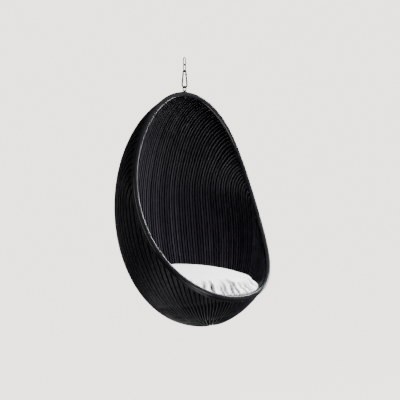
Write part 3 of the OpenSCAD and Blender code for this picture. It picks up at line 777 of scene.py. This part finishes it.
@dataclass
class Weave:
    """The strands, which run from the foot to the rim on either side of the hoops.

    Towards the foot every second strand drops out at each thinning ring and the rest spread
    evenly. High on the back they run upright instead of towards the top.
    """

    egg: Egg
    frame: Frame
    strands: int = 176
    pitch_at_widest: float = 0.0153
    step: float = 0.0125
    least_steps: int = 4
    line_points: int = 900
    line_ends: Pair = (0.004, 0.9995)
    free_foot: float = 0.05
    waist: float = 0.0004
    upright: float = 0.88
    upright_from: float = 0.50
    upright_to: float = 0.75
    thinning: tuple[float, ...] = (0.250, 0.125, 0.062)
    thinning_run: float = 0.050
    rosette: float = 0.0272
    tuck_run: float = 0.03
    tuck_depth: float = 0.003
    wander: float = 0.02
    seed: int = 11

    def line(self, angle: float) -> tuple[Row, Row]:
        """Dense shares and angles along the strand at an angle, from the foot up to the rim."""
        egg = self.egg
        share = np.sin(np.linspace(*self.line_ends, self.line_points) * math.pi / 2) ** 2
        turn = self.turn_at(share, angle)
        behind = egg.depth(share, turn) * np.cos(turn)
        past = np.flatnonzero(behind < egg.rim_behind(share * egg.length))
        past = past[share[past] > self.free_foot]
        end = past[0] + 1 if len(past) else len(share)
        return share[:end], turn[:end]

    def turn_at(self, share: Row, angle: float) -> Row:
        """Angles at which the line that starts at an angle crosses the shares."""
        if abs(angle) >= math.pi / 2:
            return np.full_like(share, angle)
        side = self.egg.side.at(share)
        kept = self.upright * smooth_step(share, self.upright_from, self.upright_to)
        across = math.sin(angle) * (side + kept * np.clip(self.egg.side.reach - side, 0, None))
        return np.arcsin(np.clip(across / side, -1.0, 1.0))

    def spacing(self, share: Row, angle: float) -> Row:
        """Distance between neighbouring lines, square to them, with none dropped out."""
        egg = self.egg
        near = 0.02  # share of the pitch over which the distance is measured
        half = near * math.pi / self.strands
        along = unit(np.gradient(egg.own_point(share, self.turn_at(share, angle)), axis=0))
        left, right = (egg.own_point(share, self.turn_at(share, angle + a)) for a in (-half, half))
        gap = (right - left) / near
        return np.linalg.norm(gap - (gap * along).sum(1)[:, None] * along, axis=1)

    def inside(self, ring: float, radius: Row) -> Row:
        """How far each radius lies inside a thinning ring, from 0 (outside) to 1."""
        half = self.thinning_run / 2
        return 1.0 - smooth_step(radius, ring - half, ring + half)

    def thinned(self, strands: Strands, index: int, radius: Row) -> tuple[Row, float]:
        """A strand's shift in radians at each distance from the axis, and where it drops out.

        It shifts as its neighbours drop out. index counts the strands where all are there.
        """
        pitch = FULL_TURN / self.strands
        shift = np.zeros_like(radius)
        place = (index + strands.phase) * pitch
        for ring in self.thinning:
            if (index + strands.kept) % 2:
                return shift, ring
            index //= 2
            pitch *= 2
            moved = (index + strands.phase) * pitch
            shift = shift + (moved - place) * self.inside(ring, radius)
            place = moved
        return shift, self.rosette

    def crowding(self, radius: Row) -> Row:
        """How much further apart the strands lie where some have dropped out."""
        factor = np.ones_like(radius)
        for ring in self.thinning:
            factor *= 1.0 + self.inside(ring, radius)
        return factor

    def strand(self, strands: Strands, index: int, rng: np.random.Generator) -> Chain:
        """One strand of a layer."""
        egg = self.egg
        drawn = strands.pairing * (-1 if (index + strands.kept) % 2 else 1)
        place = index + strands.phase + drawn + rng.normal(0, self.wander)
        angle = wrapped(place * FULL_TURN / self.strands)
        share, turn = self.line(angle)
        own = egg.own_point(share, turn)
        near_foot = share < egg.side.widest
        radius = np.where(near_foot, np.hypot(own[:, 0], own[:, 1]), egg.length)
        shift, low_end = self.thinned(strands, index, radius)
        wide = self.spacing(share, angle) * self.crowding(radius)
        keep = radius > low_end
        share, turn, wide = share[keep], (turn + shift)[keep], wide[keep]
        walked = walk(egg.own_point(share, turn))
        count = max(self.least_steps, round(walked[-1] / self.step))
        stops = np.linspace(0.0, walked[-1], count + 1)
        share, turn, wide = (np.interp(stops, walked, row) for row in (share, turn, wide))
        heights = self.frame.hoop_heights[::-1]
        between = np.interp(share * egg.length, heights, np.arange(len(heights)))
        lean = self.waist * (0.5 - 0.5 * np.cos(FULL_TURN * between))
        tucked = 1.0 - smooth_step(stops, 0.0, self.tuck_run)
        if low_end > self.rosette:
            lean = lean + tucked * self.tuck_depth
        points = egg.surface(share, turn, strands.level + strands.pull * lean)
        fit = np.clip(wide / self.pitch_at_widest, *strands.girths)
        girth = fit * (1.0 + rng.normal(0, self.wander)) * (1.0 - strands.taper * tucked)
        return Chain(points, egg.normal(share, turn), girth, tone=float(rng.uniform()))

    def build(self, oval: SweepTree) -> None:
        """Builds each layer as a left and a right piece."""
        rng = np.random.default_rng(self.seed)
        for layer, strands in LAYERS.items():
            chains = [self.strand(strands, i, rng) for i in range(self.strands)]
            for side, on_right in (("right", True), ("left", False)):
                part = [c for c in chains if (c.points[len(c.points) // 2, 0] >= 0) == on_right]
                name = f"{layer}_strands_{side}"
                obj = oval.along(name, part, strands.finish, *strands.size, sides=strands.sides)
                ride(obj, "chair", "strand_black", *strands.nodes)


# ---- cushion


@dataclass(frozen=True)
class Gathers:
    """Folds that run from the cushion's seam towards its middle, deepest at the front.

    widths and depths are ranges of factors on width, a half width at the seam, and on depth.
    reach is the range of their lengths, stray how far a gather leaves its even place, in spacings,
    and bend how much it curves, in radians a metre. Its ridges lie ridge_place half widths off it.
    Each gather also gets painted shade along it, fading sideways by fade.
    """

    count: int = 46
    depth: float = 0.0300
    width: float = 0.0048
    reach: Pair = (0.070, 0.160)
    widths: Pair = (0.7, 1.5)
    depths: Pair = (0.35, 1.0)
    stray: float = 0.42
    bend: float = 0.9
    back_share: float = 0.06
    full_share: float = 0.25
    ridge_share: float = 0.25
    ridge_place: float = 1.9
    fade: float = 0.4
    seed: int = 5

    def folds(self, turn: Row, radius: Row, inwards: Row) -> tuple[Row, Row]:
        """How far points are pressed in, and how much painted shade they get along the gathers.

        turn is a point's direction from the seam's middle, 0 towards the back, radius its
        distance from there and inwards its distance from the seam.
        """
        rng = np.random.default_rng(self.seed)
        press = np.zeros_like(turn)
        shade = np.zeros_like(turn)
        for k in range(self.count):
            home = FULL_TURN * (k + rng.uniform(-self.stray, self.stray)) / self.count
            bend = rng.normal(0.0, self.bend)
            reach = rng.uniform(*self.reach)
            width = self.width * rng.uniform(*self.widths)
            front = (0.5 - 0.5 * math.cos(home)) ** 4
            depth = self.depth * rng.uniform(*self.depths)
            depth *= self.back_share + (1.0 - self.back_share) * front
            off = wrapped(turn - home - bend * inwards)
            across = off * radius / (width * (1.0 + np.clip(inwards, 0, None) / reach))
            along = 1.0 - smooth_step(inwards, self.full_share * reach, reach)
            valley = np.exp(-(across**2))
            ridge = np.exp(-((np.abs(across) - self.ridge_place) ** 2))
            press += depth * along * (valley - self.ridge_share * ridge)
            # Painted shade: darkest in a gather's valley, more for a deeper one, fading sideways.
            dark = math.sqrt(depth / self.depth) * along
            shade = np.maximum(shade, dark * np.exp(-self.fade * across**2))
        return press, shade


@dataclass
class Cushion:
    """The loose round cushion in the bowl, blown up as cloth and gathered along its seam.

    level is its underside's distance from the egg's surface, seam_slope the rise of the seam's
    plane for each metre towards the back, and fullness two powers that shape the crown. The shape
    shrinks by inset and is blown out by inset in the bowl and by rise on the crown, with rise_run
    as the heights over the seam between the two.
    """

    egg: Egg
    gathers: Gathers = Gathers()
    level: float = -0.0129
    seam_height: float = 0.206
    seam_slope: float = 0.075
    seam_draw: float = 0.003
    front_draw: float = 0.014
    front_draw_from: float = 0.6
    crown: float = 0.052
    fullness: Pair = (2.6, 0.62)
    columns: int = 144
    bowl_rings: int = 16
    crown_rings: int = 16
    inset: float = 0.004
    rise: float = 0.010
    rise_run: Pair = (-0.005, 0.025)
    voxel: float = 0.0055
    pressure: float = 4.0
    bending: float = 0.2
    slack: float = 0.05
    frames: int = 20
    gather_drop: float = 0.014

    @property
    def over_seam(self) -> Points:
        """Unit vector square to the seam's plane."""
        return unit(np.array([0.0, -self.seam_slope, 1.0]))

    def round_about(self) -> tuple[Row, Row]:
        """Angles of a ring's points, and how much each of them faces the front."""
        angle = np.linspace(0.0, FULL_TURN, self.columns, endpoint=False)
        return angle, np.clip(-np.cos(angle), 0, None) ** 4

    def seam_share(self, angle: Row, height: float) -> Row:
        """Share at which a plane parallel to the seam's cuts the egg."""
        egg = self.egg
        c, s = math.cos(egg.lean), math.sin(egg.lean)
        tilt = s + self.seam_slope * c
        upright = c - self.seam_slope * s
        share = np.full_like(angle, 0.2)  # a first guess, settled in twelve rounds
        for _ in range(12):
            behind = egg.depth(share, angle) * np.cos(angle)
            share = (height + behind * tilt) / (egg.length * upright)
        return share

    def seam(self) -> Points:
        """The seam's ring, drawn in from the wall."""
        angle, front = self.round_about()
        level = self.level - self.seam_draw - self.front_draw * front
        return self.egg.surface(self.seam_share(angle, self.seam_height), angle, level)

    def rings(self) -> list[Points]:
        """Rings from the foot over the seam to the crown."""
        angle, front = self.round_about()
        high = self.seam_share(angle, self.seam_height - 2 * self.seam_draw)
        rings = []
        for k in np.linspace(0.02, 1.0, self.bowl_rings):
            draw = self.front_draw / 2 * front * smooth_step(k, self.front_draw_from, 1.0)
            rings.append(self.egg.surface(high * k**1.5, angle, self.level - draw))
        seam = self.seam()
        rings.append(seam)
        centre = seam.mean(0)
        up = self.egg.turned(np.array([0.0, 0.0, 1.0]))
        for k in np.cos(np.linspace(0.0, math.pi / 2, self.crown_rings + 2)[1:-1]):
            rise = self.crown * (1 - k ** self.fullness[0]) ** self.fullness[1]
            rings.append(centre + k * (seam - centre) + rise * up)
        return rings

    def closed(self) -> Object:
        """The rings as a closed mesh."""
        rings = self.rings()
        n = self.columns
        vertices = np.concatenate([*rings, [rings[0].mean(0)], [rings[-1].mean(0)]])
        foot, peak = len(vertices) - 2, len(vertices) - 1
        top = (len(rings) - 1) * n
        faces = [(foot, (j + 1) % n, j) for j in range(n)]
        for low in range(0, top, n):
            faces += band(low, low + n, n)
        faces += [(top + j, top + (j + 1) % n, peak) for j in range(n)]
        mesh = bpy.data.meshes.new("cushion")
        mesh.from_pydata(vertices.tolist(), [], faces)
        tidy = bmesh.new()
        tidy.from_mesh(mesh)
        bmesh.ops.recalc_face_normals(tidy, faces=tidy.faces)
        tidy.to_mesh(mesh)
        tidy.free()
        return new_object("cushion", mesh)

    def inflate(self, cushion: Object) -> None:
        """Blows the shape up as slack cloth, least in the bowl."""
        move(cushion.data, places(cushion.data) - self.inset * normals(cushion.data))
        remesh = cushion.modifiers.new("remesh", "REMESH")
        remesh.mode = "VOXEL"
        remesh.voxel_size = self.voxel
        settle(cushion)
        rest = places(cushion.data)
        cloth = cushion.modifiers.new("cloth", "CLOTH")
        cloth.settings.use_pressure = True
        cloth.settings.uniform_pressure_force = self.pressure
        cloth.settings.shrink_min = -self.slack
        cloth.settings.effector_weights.gravity = 0.0
        cloth.settings.bending_stiffness = self.bending
        cloth.point_cache.frame_end = self.frames
        for step in range(1, self.frames + 1):
            bpy.context.scene.frame_set(step)
        settle(cushion)
        bpy.context.scene.frame_set(1)
        shift = places(cushion.data) - rest
        far = np.linalg.norm(shift, axis=1)
        over = (rest - self.seam().mean(0)) @ self.over_seam
        limit = self.inset + (self.rise - self.inset) * smooth_step(over, *self.rise_run)
        part = np.minimum(1.0, limit / np.maximum(far, 1e-9))
        move(cushion.data, rest + shift * part[:, None])
        LOG.info("cushion blown up by %.1f mm in the mean", 1000 * np.minimum(far, limit).mean())

    def gather(self, cushion: Object) -> None:
        """Presses the gathers into the crown and keeps a painted shade along them as an attribute
        that darkens the cover.
        """
        cushion.modifiers.new("finer", "SUBSURF").levels = 1
        settle(cushion)
        rows = places(cushion.data)
        seam = self.seam()
        centre = seam.mean(0)
        height = (rows - centre) @ self.over_seam
        flat = rows - centre - height[:, None] * self.over_seam
        turn = np.arctan2(flat[:, 0], flat[:, 1])
        radius = np.linalg.norm(flat, axis=1)
        out = seam - centre
        seam_turn = np.arctan2(out[:, 0], out[:, 1])
        order = np.argsort(seam_turn)
        seam_radius = np.linalg.norm(out, axis=1)[order]
        edge = np.interp(turn, seam_turn[order], seam_radius, period=FULL_TURN)
        press, shade = self.gathers.folds(turn, radius, edge - radius)
        above = smooth_step(height, -self.gather_drop, 0.0)
        move(cushion.data, rows - (press * above)[:, None] * normals(cushion.data))
        # Painted shade along the gathers, kept on the crown only, for the cover's colour.
        keep_values(cushion.data, "painted_fold_shade", shade * above)

    def build(self) -> None:
        """Builds the cushion."""
        cushion = self.closed()
        self.inflate(cushion)
        self.gather(cushion)
        cushion.data.shade_smooth()
        ClothFinish().wear(cushion)
        ride(cushion, "cushion", "cover_white", "cushion_cover", "cushion_filling")


# ---- hardware


BRIGHT = (
    "upper_link", "lower_link", "hook_body", "hook_gate", "gate_pin", "gate_plunger",
    "eye_bolt", "upper_saddle",
)
HIDDEN = ("lower_saddle", "eye_nut")


def dress(nodes: dict[str, Object]) -> None:
    """Gives the links, the hook and the eye bolt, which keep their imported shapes, a finish."""
    for name in BRIGHT:
        ZINC.wear(nodes[name])
    for name in HIDDEN:
        LACQUER.wear(nodes[name])
    SPRING_STEEL.wear(nodes["gate_spring"])
    LOG.info("dressed %d packed pieces", len(BRIGHT) + len(HIDDEN) + 1)


# ---- studio


@dataclass(frozen=True)
class Lamp:
    """A soft rectangular light that faces the chair or, with a flat_turn, lies flat and shines up.

    It shows only in the gloss of things (in_gloss) or lights only their shades.
    """

    name: str
    place: Place
    size: Pair
    power: float
    in_gloss: bool = True
    flat_turn: float | None = None

    def build(self, target: Vector) -> None:
        """Builds the light, facing the target."""
        data = bpy.data.lights.new(self.name, "AREA")
        data.shape = "RECTANGLE"
        data.size, data.size_y = self.size
        data.energy = self.power
        if self.flat_turn is None:
            aim = target - Vector(self.place)
            facing = aim.to_track_quat("-Z", "Y").to_matrix().to_4x4()
        else:
            upwards = Matrix.Rotation(math.pi, 4, "X")
            facing = Matrix.Rotation(self.flat_turn, 4, "Z") @ upwards
        lamp = new_object(self.name, data)
        lamp.matrix_world = Matrix.Translation(self.place) @ facing
        lamp.visible_glossy = self.in_gloss
        lamp.visible_diffuse = not self.in_gloss


@dataclass
class Studio:
    """Camera, pale floor and soft lights.

    The camera faces the rim's top and is then moved aside, so that the chair lies off the middle.
    """

    rim_top: Place = (0.0, 0.0, -0.19161)
    azimuth: float = -0.76423
    elevation: float = 0.05647
    distance: float = 4.8470
    moved_right: float = 0.08143
    moved_up: float = -0.55770
    focal_pixels: float = 916.6
    image_pixels: float = 400.0
    sensor: float = 36.0
    floor_height: float = -2.30
    floor_radius: float = 12.0
    bend_radius: float = 4.0
    wall_top: float = 12.0
    floor_sides: int = 96
    surround: Colour = (0.88, 0.86, 1.0)
    surround_strength: float = 0.11
    chair_middle: Place = (0.0, 0.0, -0.8)
    lamps: tuple[Lamp, ...] = (
        Lamp("key", (1.4, -2.9, 2.0), (1.2, 1.2), 660.0, in_gloss=False),
        Lamp("side", (3.0, -1.9, 2.2), (0.7, 0.7), 480.0, in_gloss=False),
        Lamp("right_high", (3.0, -0.1, 0.8), (0.34, 1.8), 110.0),
        Lamp("right", (3.4, -0.9, -0.8), (0.24, 2.4), 70.0),
        Lamp("left", (-3.8, 0.6, -0.6), (0.4, 3.0), 34.0),
        Lamp("low", (-0.7, -0.1, -2.25), (3.4, 0.2), 7.0, flat_turn=math.radians(30)),
        Lamp("low_left", (-1.1, -2.1, -2.2), (1.2, 1.2), 26.0),
        Lamp("bounce", (0.3, -2.6, -1.8), (1.4, 1.4), 36.0, in_gloss=False),
    )

    def build(self) -> None:
        """Builds the whole studio."""
        self.build_camera()
        self.build_floor()
        self.build_surround()
        for lamp in self.lamps:
            lamp.build(Vector(self.chair_middle))

    def build_camera(self) -> None:
        """The camera, from the view's unit vectors: back, right and up."""
        a, e = self.azimuth, self.elevation
        back = Vector((math.sin(a) * math.cos(e), -math.cos(a) * math.cos(e), math.sin(e)))
        right = Vector((math.cos(a), math.sin(a), 0.0))
        up = back.cross(right)
        data = bpy.data.cameras.new("camera")
        data.sensor_width = self.sensor
        data.lens = self.focal_pixels * self.sensor / self.image_pixels
        aside = right * self.moved_right + up * self.moved_up
        place = Vector(self.rim_top) + back * self.distance + aside
        turn = Matrix((right, up, back)).transposed().to_4x4()
        camera = new_object("camera", data)
        camera.matrix_world = Matrix.Translation(place) @ turn
        bpy.context.scene.camera = camera

    def build_floor(self) -> None:
        """A wide floor that bends up into a wall all round."""
        low, wide, bend = self.floor_height, self.floor_radius, self.bend_radius
        rings = [(radius, low) for radius in np.linspace(0.0, wide, 4)[1:]]
        for a in np.linspace(0.1, math.pi / 2, 12):
            rings.append((wide + bend * math.sin(a), low + bend * (1 - math.cos(a))))
        rings.append((wide + bend, self.wall_top))
        n = self.floor_sides
        round_about = FULL_TURN * np.arange(n) / n
        vertices = [(0.0, 0.0, low)]
        for radius, z in rings:
            vertices += [(radius * math.cos(a), radius * math.sin(a), z) for a in round_about]
        faces = [(0, 1 + j, 1 + (j + 1) % n) for j in range(n)]
        for first in range(1, 1 + (len(rings) - 1) * n, n):
            faces += band(first + n, first, n)
        mesh = bpy.data.meshes.new("floor")
        mesh.from_pydata(vertices, [], faces)
        mesh.shade_smooth()
        floor = new_object("floor", mesh)
        PaleFloorFinish().wear(floor)
        floor.visible_glossy = False
        floor.visible_diffuse = False
        floor.visible_shadow = False

    def build_surround(self) -> None:
        """An even pale surround."""
        world = bpy.data.worlds.new("surround")
        world.use_nodes = True
        background = world.node_tree.nodes["Background"]
        fill(background, Color=(*self.surround, 1.0), Strength=self.surround_strength)
        bpy.context.scene.world = world


def main() -> None:
    """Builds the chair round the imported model."""
    logging.basicConfig(level=logging.INFO, format="%(name)s: %(message)s")
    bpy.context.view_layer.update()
    Studio().build()
    egg = Egg()
    oval, bar = SweepTree("oval"), SweepTree("bar")
    chair_frame = Frame(egg)
    chair_frame.build(oval, bar)
    Weave(egg, chair_frame).build(oval)
    dress(frame["nodes"])
    Cushion(egg).build()


if __name__ == "__main__":
    main()
